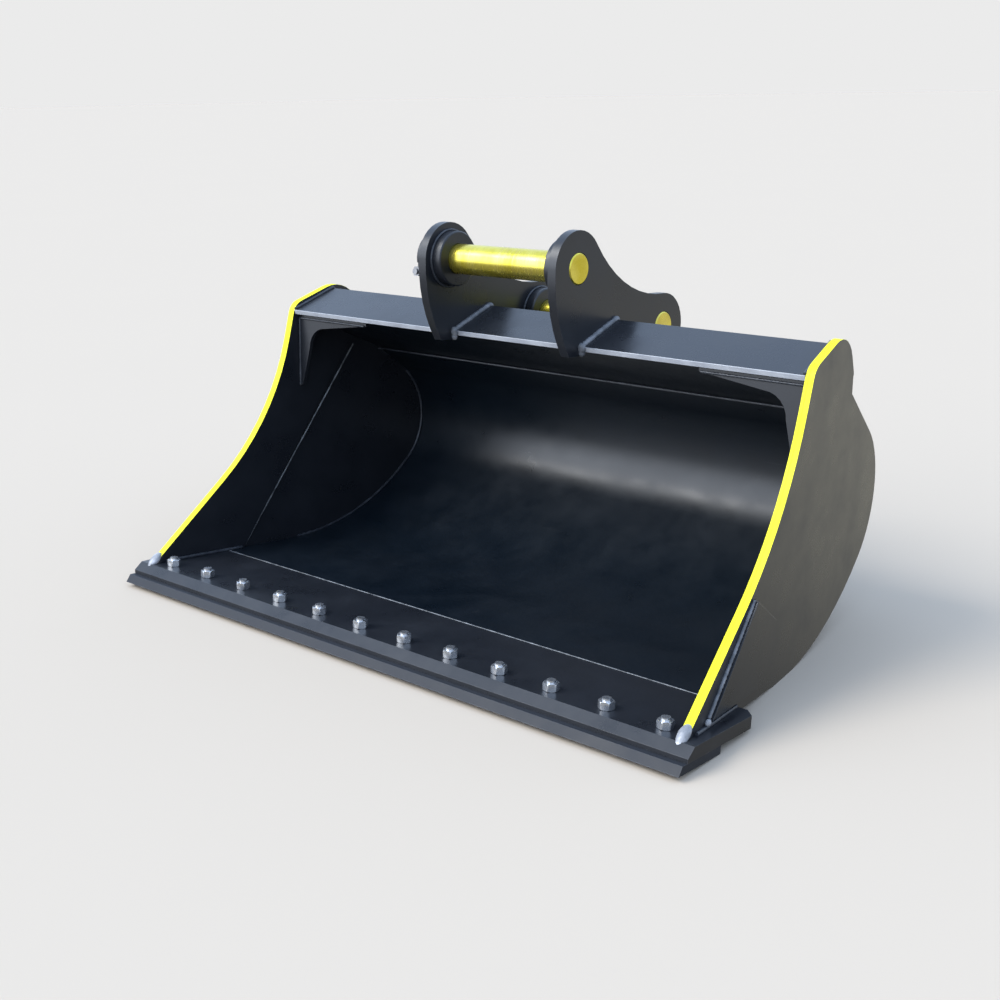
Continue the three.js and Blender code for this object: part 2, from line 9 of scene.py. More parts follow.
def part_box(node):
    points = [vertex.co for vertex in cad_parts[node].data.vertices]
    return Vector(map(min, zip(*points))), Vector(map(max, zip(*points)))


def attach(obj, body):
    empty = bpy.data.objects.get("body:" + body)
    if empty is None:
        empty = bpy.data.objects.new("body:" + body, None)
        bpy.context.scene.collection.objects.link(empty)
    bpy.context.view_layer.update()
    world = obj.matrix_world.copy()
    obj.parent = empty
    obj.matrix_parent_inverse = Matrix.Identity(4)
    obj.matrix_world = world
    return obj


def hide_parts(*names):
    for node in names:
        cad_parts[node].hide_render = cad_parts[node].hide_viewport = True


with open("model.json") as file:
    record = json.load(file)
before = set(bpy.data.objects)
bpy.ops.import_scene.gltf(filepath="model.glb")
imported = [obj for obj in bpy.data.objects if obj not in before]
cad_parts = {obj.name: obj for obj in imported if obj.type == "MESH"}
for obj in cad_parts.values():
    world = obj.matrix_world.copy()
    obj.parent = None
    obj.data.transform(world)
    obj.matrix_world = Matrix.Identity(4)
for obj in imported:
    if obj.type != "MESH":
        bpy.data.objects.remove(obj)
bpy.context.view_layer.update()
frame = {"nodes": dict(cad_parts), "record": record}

nodes = frame["nodes"]

# ---- the bucket's own building frame -------------------------------------------------------
# across: from side to side, back: behind the row of edge bolts, up: above the base blade's
# top face, all in millimetres. The bucket stands tipped, so everything is turned to match.

FRONT_PIN = (442.0, 904.0)
REAR_PIN = (841.0, 740.0)

pin_joints = {joint["name"]: Vector(joint["pos_m"]) for joint in frame["record"]["behaviour"]["joints"]}
front_pin_at = pin_joints["front_pin_turn"]
pin_line = pin_joints["rear_pin_turn"] - front_pin_at
drawn_angle = math.atan2(REAR_PIN[1] - FRONT_PIN[1], REAR_PIN[0] - FRONT_PIN[0])
tilt = drawn_angle - math.atan2(pin_line.z, pin_line.y)


def turned(across, back, up):
    """A direction drawn in the building frame, as it points on the standing bucket."""
    return Vector((
        across,
        back * math.cos(tilt) + up * math.sin(tilt),
        -back * math.sin(tilt) + up * math.cos(tilt),
    ))


def at(across, back, up):
    """A place drawn in the building frame, in metres on the standing bucket."""
    from_pin = turned(0, back - FRONT_PIN[0], up - FRONT_PIN[1]) / 1000
    return Vector((across / 1000, front_pin_at.y + from_pin.y, front_pin_at.z + from_pin.z))


MOUTH_HALF = 884.5  # half the width between the lip liners, at the row of bolts
PLAN_TAPER = math.radians(6.1)  # the sides close in towards the back
SIDE_FLARE = math.radians(1.5)  # and open out towards the top
LINER = 8.0
SIDE_OUTER = 22.6  # from a lip liner's inner face to the side plate's outer face
SHELL = 12.0
FLOOR_START = 215.6  # front edge of the wrapper, behind the base blade
BLADE_REAR = 215.0
EAR_OUTER = 228.0
EAR_INNER = 203.0
BELLY_CENTRE = (440.3, 678.0)
BELLY_RADIUS = 690.0
BELLY_END = math.radians(45.7)
BACK_RADIUS = 214.0
BACK_END = math.radians(146.0)
BACK_STRAIGHT = 203.0
BACK_CENTRE = (
    BELLY_CENTRE[0] + (BELLY_RADIUS - BACK_RADIUS) * math.sin(BELLY_END),
    BELLY_CENTRE[1] - (BELLY_RADIUS - BACK_RADIUS) * math.cos(BELLY_END),
)
LIP = (467.0, 709.0)  # front edge of the beam's top plate
BEAM_ANGLE = math.radians(23.1)
BEAM_TOP = 158.0
BEAM_REAR = (LIP[0] + BEAM_TOP * math.cos(BEAM_ANGLE), LIP[1] + BEAM_TOP * math.sin(BEAM_ANGLE))
BEAM_FOOT = (733.0, 640.0)  # where the beam's rear plate lands on the wrapper
BELLY_STEPS = 16
BACK_STEPS = 24


def half_inside(back, up):
    """Half the width between the lip liners."""
    return MOUTH_HALF - math.tan(PLAN_TAPER) * back + math.tan(SIDE_FLARE) * up


def wrapper_line(inside):
    """Points along the wrapper's section, from its floor to its top, this far in from outside."""
    points = [(FLOOR_START, -SHELL + inside), (BELLY_CENTRE[0], -SHELL + inside)]
    for step in range(1, BELLY_STEPS + 1):
        angle = BELLY_END * step / BELLY_STEPS
        radius = BELLY_RADIUS - inside
        points.append((BELLY_CENTRE[0] + radius * math.sin(angle),
                       BELLY_CENTRE[1] - radius * math.cos(angle)))
    for step in range(1, BACK_STEPS + 1):
        angle = BELLY_END + (BACK_END - BELLY_END) * step / BACK_STEPS
        radius = BACK_RADIUS - inside
        points.append((BACK_CENTRE[0] + radius * math.sin(angle),
                       BACK_CENTRE[1] - radius * math.cos(angle)))
    last = points[-1]
    points.append((last[0] + BACK_STRAIGHT * math.cos(BACK_END),
                   last[1] + BACK_STRAIGHT * math.sin(BACK_END)))
    return points


# ---- small helpers -------------------------------------------------------------------------

def only(piece):
    """Leaves this one piece selected and active."""
    bpy.ops.object.select_all(action="DESELECT")
    piece.select_set(True)
    bpy.context.view_layer.objects.active = piece


def settle(piece):
    """Moves the piece's place into its mesh, so its object sits at the origin."""
    only(piece)
    bpy.ops.object.transform_apply(location=True, rotation=True, scale=True)


def apply_modifiers(piece):
    only(piece)
    for modifier in list(piece.modifiers):
        bpy.ops.object.modifier_apply(modifier=modifier.name)


def dress(piece, name, material, body="bucket"):
    """Names the piece, gives it one material and lets it ride on its body."""
    piece.name = name
    piece.data.name = name
    piece.data.materials.clear()
    piece.data.materials.append(material)
    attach(piece, body)
    return piece


# ---- shader node helpers -------------------------------------------------------------------

class Sheet:
    """A short way to place and join nodes in one node tree."""

    def __init__(self, tree):
        self.tree = tree

    def node(self, kind, values=None, **settings):
        made = self.tree.nodes.new(kind)
        for key, value in settings.items():
            setattr(made, key, value)
        for key, value in (values or {}).items():
            if isinstance(value, bpy.types.NodeSocket):
                self.tree.links.new(value, made.inputs[key])
            else:
                made.inputs[key].default_value = value
        return made

    def math(self, operation, first, second=0.0, clamp=False):
        return self.node("ShaderNodeMath", {0: first, 1: second},
                         operation=operation, use_clamp=clamp).outputs[0]

    def ramp(self, factor, stops):
        made = self.node("ShaderNodeValToRGB", {0: factor})
        elements = made.color_ramp.elements
        while len(elements) < len(stops):
            elements.new(0.5)
        for element, (place, colour) in zip(elements, stops):
            element.position = place
            element.color = (*colour, 1.0)
        return made.outputs[0]

    def blend(self, factor, first, second):
        made = self.node("ShaderNodeMix", data_type="RGBA")
        for index, value in ((0, factor), (6, first), (7, second)):
            socket = made.inputs[index]
            if isinstance(value, bpy.types.NodeSocket):
                self.tree.links.new(value, socket)
            elif isinstance(value, tuple):
                socket.default_value = (*value, 1.0)
            else:
                socket.default_value = value
        return made.outputs[2]

    def spread(self, value, low, high, to_low=0.0, to_high=1.0):
        """The value, stretched so that low becomes to_low and high becomes to_high."""
        return self.node("ShaderNodeMapRange",
                         {0: value, 1: low, 2: high, 3: to_low, 4: to_high}).outputs[0]

    def noise(self, place, scale, detail, roughness=0.5):
        return self.node("ShaderNodeTexNoise", {"Vector": place, "Scale": scale, "Detail": detail,
                                                "Roughness": roughness}).outputs[0]

    def on_piece(self):
        """The place on the piece itself, in metres."""
        return self.node("ShaderNodeTexCoord").outputs["Object"]

    def join(self, value, socket):
        self.tree.links.new(value, socket)


def effect_group(name, inputs, outputs):
    """An empty shader node group, with named number inputs and outputs."""
    group = bpy.data.node_groups.new(name, "ShaderNodeTree")
    for label, start in inputs:
        socket = group.interface.new_socket(name=label, in_out="INPUT",
                                            socket_type="NodeSocketFloat")
        socket.default_value = start
    for label in outputs:
        group.interface.new_socket(name=label, in_out="OUTPUT",
                                   socket_type="NodeSocketFloat")
    sheet = Sheet(group)
    entry = group.nodes.new("NodeGroupInput").outputs
    leave = group.nodes.new("NodeGroupOutput").inputs
    return group, sheet, entry, leave


# ---- shared surface effects ----------------------------------------------------------------

def make_sprayed_paint():
    """Orange peel, slow dents of hot-rolled plate, and the patchy gloss of sprayed paint."""
    group, sheet, entry, leave = effect_group(
        "sprayed_paint", [("Peel", 0.35), ("Dents", 1.0)], ["Height", "Gloss Patches"])
    place = sheet.on_piece()
    peel = sheet.noise(place, 520.0, 2.0)
    dents = sheet.noise(place, 3.2, 1.0)
    patches = sheet.noise(place, 9.0, 5.0, 0.62)
    small = sheet.math("MULTIPLY", peel, entry["Peel"])
    large = sheet.math("MULTIPLY", sheet.math("MULTIPLY", dents, 6.0), entry["Dents"])
    sheet.join(sheet.math("ADD", small, large), leave["Height"])
    sheet.join(sheet.spread(patches, 0.32, 0.7), leave["Gloss Patches"])
    return group


def make_yard_dust():
    """Thin dust on what faces up, in drifts and specks."""
    group, sheet, entry, leave = effect_group("yard_dust", [("Amount", 0.4)], ["Mask"])
    place = sheet.on_piece()
    normal = sheet.node("ShaderNodeNewGeometry").outputs["Normal"]
    upward = sheet.node("ShaderNodeSeparateXYZ", {0: normal}).outputs[2]
    facing = sheet.spread(upward, 0.25, 1.0)
    drift_mask = sheet.spread(sheet.noise(place, 5.5, 8.0, 0.7), 0.45, 0.8)
    speck_mask = sheet.spread(sheet.noise(place, 240.0, 3.0), 0.62, 0.75)
    both = sheet.math("MAXIMUM", drift_mask, sheet.math("MULTIPLY", speck_mask, 0.5))
    laid = sheet.math("MULTIPLY", both, facing)
    sheet.join(sheet.math("MULTIPLY", laid, entry["Amount"], clamp=True), leave["Mask"])
    return group


def make_scuffs():
    """Fine handling scratches, in two crossing directions."""
    group, sheet, entry, leave = effect_group("handling_scuffs", [("Amount", 0.5)], ["Mask"])
    place = sheet.on_piece()
    directions = (((0.3, 0.2, 0.5), (2.0, 160.0, 110.0)), ((1.1, 0.7, -0.6), (130.0, 3.0, 150.0)))
    masks = []
    for turn, stretch in directions:
        laid = sheet.node("ShaderNodeMapping",
                          {"Vector": place, "Rotation": turn, "Scale": stretch}).outputs[0]
        masks.append(sheet.spread(sheet.noise(laid, 1.0, 2.0), 0.7, 0.78))
    zone = sheet.spread(sheet.noise(place, 4.0, 3.0), 0.5, 0.68)
    lines = sheet.math("MULTIPLY", sheet.math("MAXIMUM", masks[0], masks[1]), zone)
    sheet.join(sheet.math("MULTIPLY", lines, entry["Amount"], clamp=True), leave["Mask"])
    return group


def make_edge_rub():
    """Where a sharp edge of a plate has lost some paint."""
    group, sheet, entry, leave = effect_group(
        "edge_rub", [("Width", 0.003), ("Amount", 0.5)], ["Mask"])
    place = sheet.on_piece()
    rounded = sheet.node("ShaderNodeBevel", {"Radius": entry["Width"]}, samples=4).outputs[0]
    flat = sheet.node("ShaderNodeNewGeometry").outputs["Normal"]
    along = sheet.node("ShaderNodeVectorMath", {0: rounded, 1: flat},
                       operation="DOT_PRODUCT").outputs["Value"]
    corner = sheet.spread(along, 0.985, 0.86)
    chips = sheet.spread(sheet.noise(place, 60.0, 6.0), 0.42, 0.62, 0.15, 1.0)
    chipped = sheet.math("MULTIPLY", corner, chips)
    sheet.join(sheet.math("MULTIPLY", chipped, entry["Amount"], clamp=True), leave["Mask"])
    return group


SPRAYED_PAINT = make_sprayed_paint()
YARD_DUST = make_yard_dust()
SCUFFS = make_scuffs()
EDGE_RUB = make_edge_rub()


# ---- finishes ------------------------------------------------------------------------------

def new_material(name):
    material = bpy.data.materials.new(name)
    material.use_nodes = True
    tree = material.node_tree
    shader = tree.nodes["Principled BSDF"]
    return material, Sheet(tree), shader


def placed(sheet, group, **values):
    """One use of a shared effect, with its own values."""
    made = sheet.node("ShaderNodeGroup", node_tree=group)
    for label, value in values.items():
        made.inputs[label.replace("_", " ")].default_value = value
    return made


BARE_SCRATCH = (0.10, 0.105, 0.11)
RUBBED_EDGE = (0.17, 0.175, 0.19)
DRY_DUST = (0.12, 0.117, 0.11)


def paint_finish(name, colour, roughness=0.3, dust=0.35, scuffs=0.4, rub=0.35, specular=0.5,
                 special=None):
    """Sprayed paint on plate. special adds a part of its own to the colour and roughness."""
    material, sheet, shader = new_material(name)
    spray = placed(sheet, SPRAYED_PAINT, Peel=0.35, Dents=1.0)
    dusty = placed(sheet, YARD_DUST, Amount=dust)
    scuffed = placed(sheet, SCUFFS, Amount=scuffs)
    rubbed = placed(sheet, EDGE_RUB, Width=0.003, Amount=rub)
    lighter = tuple(min(1.0, channel * 1.25 + 0.001) for channel in colour)
    base = sheet.blend(spray.outputs["Gloss Patches"], colour, lighter)
    rough = sheet.spread(spray.outputs["Gloss Patches"], 0.0, 1.0, roughness - 0.05, roughness + 0.07)
    base = sheet.blend(sheet.math("MULTIPLY", scuffed.outputs[0], 0.35), base, BARE_SCRATCH)
    base = sheet.blend(sheet.math("MULTIPLY", rubbed.outputs[0], 0.6), base, RUBBED_EDGE)
    base = sheet.blend(sheet.math("MULTIPLY", dusty.outputs[0], 0.22), base, DRY_DUST)
    if special:
        base, rough = special(sheet, base, rough)
    rough = sheet.math("ADD", rough, sheet.math("MULTIPLY", scuffed.outputs[0], 0.12))
    rough = sheet.math("ADD", rough, sheet.math("MULTIPLY", dusty.outputs[0], 0.25), clamp=True)
    bump = sheet.node("ShaderNodeBump", {"Strength": 0.22, "Distance": 0.0006,
                                         "Height": spray.outputs["Height"]})
    sheet.join(base, shader.inputs["Base Color"])
    sheet.join(rough, shader.inputs["Roughness"])
    sheet.join(bump.outputs[0], shader.inputs["Normal"])
    shader.inputs["Specular IOR Level"].default_value = specular
    return material


YELLOW = (0.88, 0.84, 0.001)
AGED_YELLOW = (0.80, 0.73, 0.003)
# light steel greys for the beam's lip: partly rubbed steel, partly a painted highlight
RUBBED_STEEL_AND_HIGHLIGHT = (0.42, 0.44, 0.48)
DULL_STEEL_AND_HIGHLIGHT = (0.30, 0.32, 0.36)


def yellow_front(sheet, base, rough):
    """Yellow on the faces of a side plate that look forward and up, black elsewhere."""
    normal = sheet.node("ShaderNodeNewGeometry").outputs["True Normal"]
    sideways, back, up = sheet.node("ShaderNodeSeparateXYZ", {0: normal}).outputs
    edge_on = sheet.math("LESS_THAN", sheet.math("ABSOLUTE", sideways), 0.72)
    forward = sheet.math("LESS_THAN", back, 0.42)
    upward = sheet.math("GREATER_THAN", up, 0.12)
    mask = sheet.math("MULTIPLY", sheet.math("MULTIPLY", edge_on, forward), upward)
    streak = sheet.noise(sheet.on_piece(), 26.0, 4.0)
    brushed = sheet.blend(sheet.spread(streak, 0.35, 0.7), YELLOW, AGED_YELLOW)
    matt = sheet.spread(mask, 0.0, 1.0, 0.0, 0.3)
    return sheet.blend(mask, base, brushed), sheet.math("ADD", rough, matt, clamp=True)


def lip_wear_and_highlight(sheet, base, rough):
    """The front edge of the beam's top plate in light steel grey: partly rubbed bright by what slides
    over it, partly a painted highlight.
    """
    normal = sheet.node("ShaderNodeNewGeometry").outputs["True Normal"]
    back = sheet.node("ShaderNodeSeparateXYZ", {0: normal}).outputs[1]
    mask = sheet.math("LESS_THAN", back, -0.8)
    rub_and_sheen = sheet.noise(sheet.on_piece(), 18.0, 6.0)
    steel = sheet.blend(sheet.spread(rub_and_sheen, 0.3, 0.7), RUBBED_STEEL_AND_HIGHLIGHT, DULL_STEEL_AND_HIGHLIGHT)
    return sheet.blend(mask, base, steel), rough


BLACK = (0.010, 0.0115, 0.015)
# the bowl's black is darker and bluer than the outer black of the same paint: painted shade inside the
# bowl and a painted blue reflection of the sky
BOWL_SHADED_BLACK = (0.003, 0.006, 0.010)
EDGE_GREY = (0.016, 0.019, 0.025)
BLADE_GREY = (0.011, 0.0125, 0.016)
black_paint = paint_finish("graphite_paint", BLACK)
inside_shaded_paint = paint_finish("bowl_paint_with_painted_shade", BOWL_SHADED_BLACK, roughness=0.32, dust=0.15)
side_paint = paint_finish("side_paint", BLACK, special=yellow_front, rub=0.12)
# the beam's lip is painted light: partly wear, partly a painted highlight
beam_paint = paint_finish("beam_paint", BLACK, roughness=0.26, special=lip_wear_and_highlight)
edge_steel_paint = paint_finish("edge_steel_paint", EDGE_GREY, roughness=0.42, dust=0.2, rub=0.5,
                                specular=0.2)
blade_paint = paint_finish("blade_paint", BLADE_GREY, dust=0.2, scuffs=0.35, rub=0.4)


def weld_finish(name, dark, light, roughness):
    """Ripples and small spatter along a weld bead."""
    material, sheet, shader = new_material(name)
    place = sheet.on_piece()
    ripple = sheet.noise(place, 230.0, 4.0)
    slow = sheet.noise(place, 40.0, 3.0)
    spatter = sheet.node("ShaderNodeTexVoronoi", {"Vector": place, "Scale": 160.0}).outputs[0]
    height = sheet.math("ADD", ripple, sheet.math("MULTIPLY", spatter, 0.6))
    bump = sheet.node("ShaderNodeBump", {"Strength": 0.55, "Distance": 0.0012, "Height": height})
    base = sheet.blend(sheet.spread(slow, 0.35, 0.68), dark, light)
    rough = sheet.spread(ripple, 0.3, 0.7, roughness - 0.06, roughness + 0.1)
    sheet.join(base, shader.inputs["Base Color"])
    sheet.join(rough, shader.inputs["Roughness"])
    sheet.join(bump.outputs[0], shader.inputs["Normal"])
    return material


bead_paint = weld_finish("bead_paint", (0.018, 0.021, 0.028), (0.045, 0.05, 0.06), 0.3)
# the floor and liner seam beads are lighter than the black plates they join: a painted highlight along
# the beads
highlighted_seam_weld = weld_finish("highlighted_seam_weld", (0.05, 0.055, 0.06), (0.22, 0.23, 0.24), 0.34)
# the ear and wear-plate beads are lighter still than the black plates: a painted highlight along the
# beads
highlighted_ear_weld = weld_finish("highlighted_ear_weld", (0.08, 0.088, 0.10), (0.20, 0.21, 0.23), 0.3)
bare_weld = weld_finish("bare_weld", (0.22, 0.23, 0.25), (0.48, 0.49, 0.52), 0.3)


def zinc_finish(name, first, second, third, roughness, ring_scale):
    """Plated steel: clouded colour, fine turning marks along the axis across the bucket."""
    material, sheet, shader = new_material(name)
    place = sheet.on_piece()
    cloud = sheet.noise(place, 14.0, 5.0)
    along_axis = sheet.node("ShaderNodeMapping",
                            {"Vector": place, "Scale": (ring_scale, 6.0, 6.0)}).outputs[0]
    marks = sheet.noise(along_axis, 1.0, 5.0, 0.75)
    pits = sheet.noise(place, 420.0, 3.0)
    base = sheet.blend(sheet.spread(cloud, 0.38, 0.62), first, second)
    base = sheet.blend(sheet.spread(marks, 0.5, 0.72, 0.0, 0.7), base, third)
    height = sheet.math("ADD", marks, sheet.math("MULTIPLY", pits, 0.35))
    bump = sheet.node("ShaderNodeBump", {"Strength": 0.12, "Distance": 0.0003, "Height": height})
    rough = sheet.spread(marks, 0.3, 0.7, roughness - 0.06, roughness + 0.08)
    sheet.join(base, shader.inputs["Base Color"])
    sheet.join(rough, shader.inputs["Roughness"])
    sheet.join(bump.outputs[0], shader.inputs["Normal"])
    shader.inputs["Metallic"].default_value = 0.9
    return material


gold_zinc = zinc_finish("gold_zinc", (0.66, 0.55, 0.05), (0.78, 0.67, 0.12), (0.52, 0.40, 0.14),
                        0.24, 90.0)
keeper_zinc = zinc_finish("keeper_zinc", (0.16, 0.16, 0.165), (0.30, 0.30, 0.31),
                          (0.10, 0.10, 0.10), 0.3, 60.0)
bright_zinc = zinc_finish("bright_zinc", (0.62, 0.63, 0.65), (0.75, 0.76, 0.78),
                          (0.5, 0.5, 0.52), 0.24, 60.0)


# ---- plates with rolled edges --------------------------------------------------------------

PLATE_CORNER = math.radians(32)  # anything sharper is a cut edge of a plate


def soften(node, material, edge, segments=2, body="bucket"):
    """A copy of a CAD plate, its cut edges broken by this many millimetres, in that plate's place."""
    source = nodes[node]
    piece = source.copy()
    piece.data = source.data.copy()
    bpy.context.scene.collection.objects.link(piece)
    for modifier in list(piece.modifiers):
        piece.modifiers.remove(modifier)
    piece.parent = None
    piece.matrix_world = Matrix.Identity(4)
    only(piece)
    bpy.ops.object.mode_set(mode="EDIT")
    bpy.ops.mesh.select_all(action="SELECT")
    bpy.ops.mesh.customdata_custom_splitnormals_clear()
    bpy.ops.mesh.remove_doubles(threshold=0.00005)
    bpy.ops.mesh.dissolve_limited(angle_limit=math.radians(0.5))
    bpy.ops.object.mode_set(mode="OBJECT")
    bevel = piece.modifiers.new("broken_edges", "BEVEL")
    bevel.width = edge / 1000
    bevel.segments = segments
    bevel.limit_method = "ANGLE"
    bevel.angle_limit = PLATE_CORNER
    bevel.use_clamp_overlap = True
    apply_modifiers(piece)
    bpy.ops.object.shade_smooth_by_angle(angle=PLATE_CORNER)
    flat_first = piece.modifiers.new("flat_faces_first", "WEIGHTED_NORMAL")
    flat_first.mode = "FACE_AREA"
    flat_first.weight = 90
    flat_first.keep_sharp = True
    apply_modifiers(piece)
    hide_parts(node)
    return dress(piece, node + "_finished", material, body)


for side in ("left", "right"):
    soften(f"{side}_side_plate", side_paint, 0.3, 1)
    soften(f"{side}_lip_liner", side_paint, 0.3, 1)
    soften(f"{side}_wear_plate", black_paint, 1.4)
    soften(f"{side}_gusset", black_paint, 1.2)
    soften(f"{side}_ear", black_paint, 2.2, 3)
    soften(f"{side}_front_boss", black_paint, 1.0)
    soften(f"{side}_rear_boss", black_paint, 1.0)
soften("beam_top_plate", beam_paint, 2.0, 3)
soften("beam_rear_plate", black_paint, 1.0)
soften("beam_closing_plate", inside_shaded_paint, 1.0)
soften("base_blade", blade_paint, 1.2)
soften("cutting_edge", edge_steel_paint, 1.2)
for place in ("front", "rear"):
    soften(f"{place}_keeper_collar", black_paint, 0.8)
    soften(f"{place}_pin", gold_zinc, 0.8, body=f"{place}_pin")


# ---- rolled wrapper ------------------------------------------------------------------------

BLANK_HALF = 900.0  # the sheet's half width before its ends are trimmed
TRIM_GAP = 0.4  # between the trimmed ends and the side plates


def pick_edges(piece, test):
    """Selects the edges whose ends both pass the test, and stays in edit mode."""
    bpy.ops.mesh.select_all(action="DESELECT")
    bpy.ops.object.mode_set(mode="OBJECT")
    corners = piece.data.vertices
    for corner in corners:
        corner.select = test(corner.co)
    for edge in piece.data.edges:
        edge.select = all(corners[index].select for index in edge.vertices)
    bpy.ops.object.mode_set(mode="EDIT")


def roll_wrapper():
    """The wrapper's outer face as it is rolled: a flat floor, two spun bends, a straight top."""
    bpy.ops.object.select_all(action="DESELECT")
    bpy.ops.mesh.primitive_plane_add(size=1, location=(0, 0, 0))
    piece = bpy.context.object
    bpy.ops.object.mode_set(mode="EDIT")
    bpy.ops.mesh.select_all(action="SELECT")
    bpy.ops.transform.resize(value=(2 * BLANK_HALF / 1000, (BELLY_CENTRE[0] - FLOOR_START) / 1000, 1))
    bpy.ops.transform.translate(
        value=(0, (BELLY_CENTRE[0] + FLOOR_START) / 2000, -SHELL / 1000))
    bpy.ops.mesh.select_mode(type="EDGE")
    pick_edges(piece, lambda corner: corner.y > (BELLY_CENTRE[0] - 1) / 1000)
    bpy.ops.mesh.spin(steps=24, angle=BELLY_END, axis=(-1, 0, 0),
                      center=(0, BELLY_CENTRE[0] / 1000, BELLY_CENTRE[1] / 1000))
    bpy.ops.mesh.spin(steps=36, angle=BACK_END - BELLY_END, axis=(-1, 0, 0),
                      center=(0, BACK_CENTRE[0] / 1000, BACK_CENTRE[1] / 1000))
    run = BACK_STRAIGHT / 1000
    bpy.ops.mesh.extrude_region_move(TRANSFORM_OT_translate={
        "value": (0, run * math.cos(BACK_END), run * math.sin(BACK_END))})
    bpy.ops.mesh.select_all(action="SELECT")
    bpy.ops.mesh.remove_doubles(threshold=0.0001)
    bpy.ops.mesh.normals_make_consistent(inside=False)
    bpy.ops.object.mode_set(mode="OBJECT")
    return piece


def wrapper_faces_out(piece):
    """True if the floor's faces look down."""
    on_floor = Vector((0, 0.3, -SHELL / 1000))
    floor = min(piece.data.polygons, key=lambda face: (face.center - on_floor).length)
    return floor.normal.z < 0


wrapper = roll_wrapper()
if not wrapper_faces_out(wrapper):
    only(wrapper)
    bpy.ops.object.mode_set(mode="EDIT")
    bpy.ops.mesh.select_all(action="SELECT")
    bpy.ops.mesh.flip_normals()
    bpy.ops.object.mode_set(mode="OBJECT")

gauge = wrapper.modifiers.new("gauge", "SOLIDIFY")
gauge.thickness = SHELL / 1000
gauge.offset = -1
apply_modifiers(wrapper)

# the two ends are trimmed to the taper of the sides
bpy.ops.object.mode_set(mode="EDIT")
for side in (-1, 1):
    bpy.ops.mesh.select_all(action="SELECT")
    cut = Vector((side, math.tan(PLAN_TAPER), -math.tan(SIDE_FLARE))).normalized()
    bpy.ops.mesh.bisect(plane_co=(side * (MOUTH_HALF + LINER - TRIM_GAP) / 1000, 0, 0),
                        plane_no=cut, clear_outer=True, use_fill=True)
bpy.ops.mesh.select_all(action="DESELECT")
bpy.ops.object.mode_set(mode="OBJECT")
wrapper.matrix_world = Matrix.Translation(at(0, 0, 0)) @ Matrix.Rotation(-tilt, 4, "X")
settle(wrapper)
bpy.ops.object.shade_smooth_by_angle(angle=math.radians(30))
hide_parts("wrapper_shell")
# the wrapper and the closing plate take the bowl's darker black, which carries painted shade
dress(wrapper, "wrapper_rolled", inside_shaded_paint)


# ---- welds ---------------------------------------------------------------------------------

weld_hand = random.Random(7)
WELD_PITCH = 5.0  # from one ripple to the next
SMALL_BEAD = 4.0
FLOOR_BEAD = 6.0
EAR_BEAD = 9.0


def lay_bead(name, path, width, material, pitch=WELD_PITCH, closed=False):
    """A weld bead along a path in the building frame, with the welder's ripples. width is half."""
    corners = [at(*point) for point in path]
    if closed:
        corners.append(corners[0])
    spots = [corners[0]]
    for start, end in zip(corners, corners[1:]):
        steps = max(1, round((end - start).length * 1000 / pitch))
        spots += [start.lerp(end, step / steps) for step in range(1, steps + 1)]
    if closed:
        spots.pop()
    bpy.ops.object.select_all(action="DESELECT")
    bpy.ops.curve.primitive_nurbs_path_add(location=(0, 0, 0))
    piece = bpy.context.object
    line = piece.data
    line.splines.clear()
    run = line.splines.new("POLY")
    run.points.add(len(spots) - 1)
    for index, (point, spot) in enumerate(zip(run.points, spots)):
        point.co = (*spot, 1.0)
        swell = 1.0 if index % 2 else 0.84
        point.radius = swell * weld_hand.uniform(0.93, 1.06)
    run.use_cyclic_u = closed
    line.dimensions = "3D"
    line.bevel_depth = width / 1000
    line.bevel_resolution = 1
    line.use_fill_caps = True
    bpy.ops.object.convert(target="MESH")
    piece = bpy.context.object
    bpy.ops.object.mode_set(mode="EDIT")
    bpy.ops.mesh.select_all(action="SELECT")
    bpy.ops.mesh.remove_doubles(threshold=0.00002)
    bpy.ops.mesh.normals_make_consistent(inside=False)
    bpy.ops.object.mode_set(mode="OBJECT")
    settle(piece)
    bpy.ops.object.shade_smooth_by_angle(angle=math.radians(60))
    return dress(piece, name, material)


def round_bead(name, across, centre, radius, width, material):
    """A bead laid right round a boss or collar."""
    steps = round(2 * math.pi * radius / WELD_PITCH)
    turns = [2 * math.pi * step / steps for step in range(steps)]
    path = [(across, centre[0] + radius * math.cos(turn), centre[1] + radius * math.sin(turn))
            for turn in turns]
    return lay_bead(name, path, width, material, closed=True)


def lump(name, spot, size, lean, material):
    """A blob of weld metal: a ball pulled out of round, then roughened."""
    bpy.ops.object.select_all(action="DESELECT")
    bpy.ops.mesh.primitive_ico_sphere_add(subdivisions=3, radius=1)
    piece = bpy.context.object
    piece.matrix_world = (Matrix.Translation(at(*spot)) @ Matrix.Rotation(-tilt, 4, "X")
                          @ Matrix.Rotation(lean, 4, "X")
                          @ Matrix.Diagonal((size[0] / 1000, size[1] / 1000, size[2] / 1000, 1)))
    settle(piece)
    bpy.ops.object.mode_set(mode="EDIT")
    bpy.ops.mesh.select_all(action="SELECT")
    bpy.ops.transform.vertex_random(offset=min(size) * 0.00005, seed=len(name))
    bpy.ops.object.mode_set(mode="OBJECT")
    bpy.ops.object.shade_smooth()
    return dress(piece, name, material)


# where the floor meets the base blade
seam_half = half_inside(BLADE_REAR, 0) - 2
floor_seam = [(across, 215.2, -0.8) for across in (-seam_half, seam_half)]
lay_bead("floor_seam", floor_seam, 2.4, highlighted_seam_weld, 6.0)

# where the closing plate lands on the wrapper
LANDING_DOWN = 84.0  # from the wrapper's top edge down to the closing plate
upper_inner = wrapper_line(SHELL)[-1]
landing = (upper_inner[0] - LANDING_DOWN * math.cos(BACK_END) - 5,
           upper_inner[1] - LANDING_DOWN * math.sin(BACK_END) - 4)
landing_half = half_inside(*landing) - 2
lay_bead("closing_seam", [(-landing_half, *landing), (landing_half, *landing)], SMALL_BEAD, bead_paint)

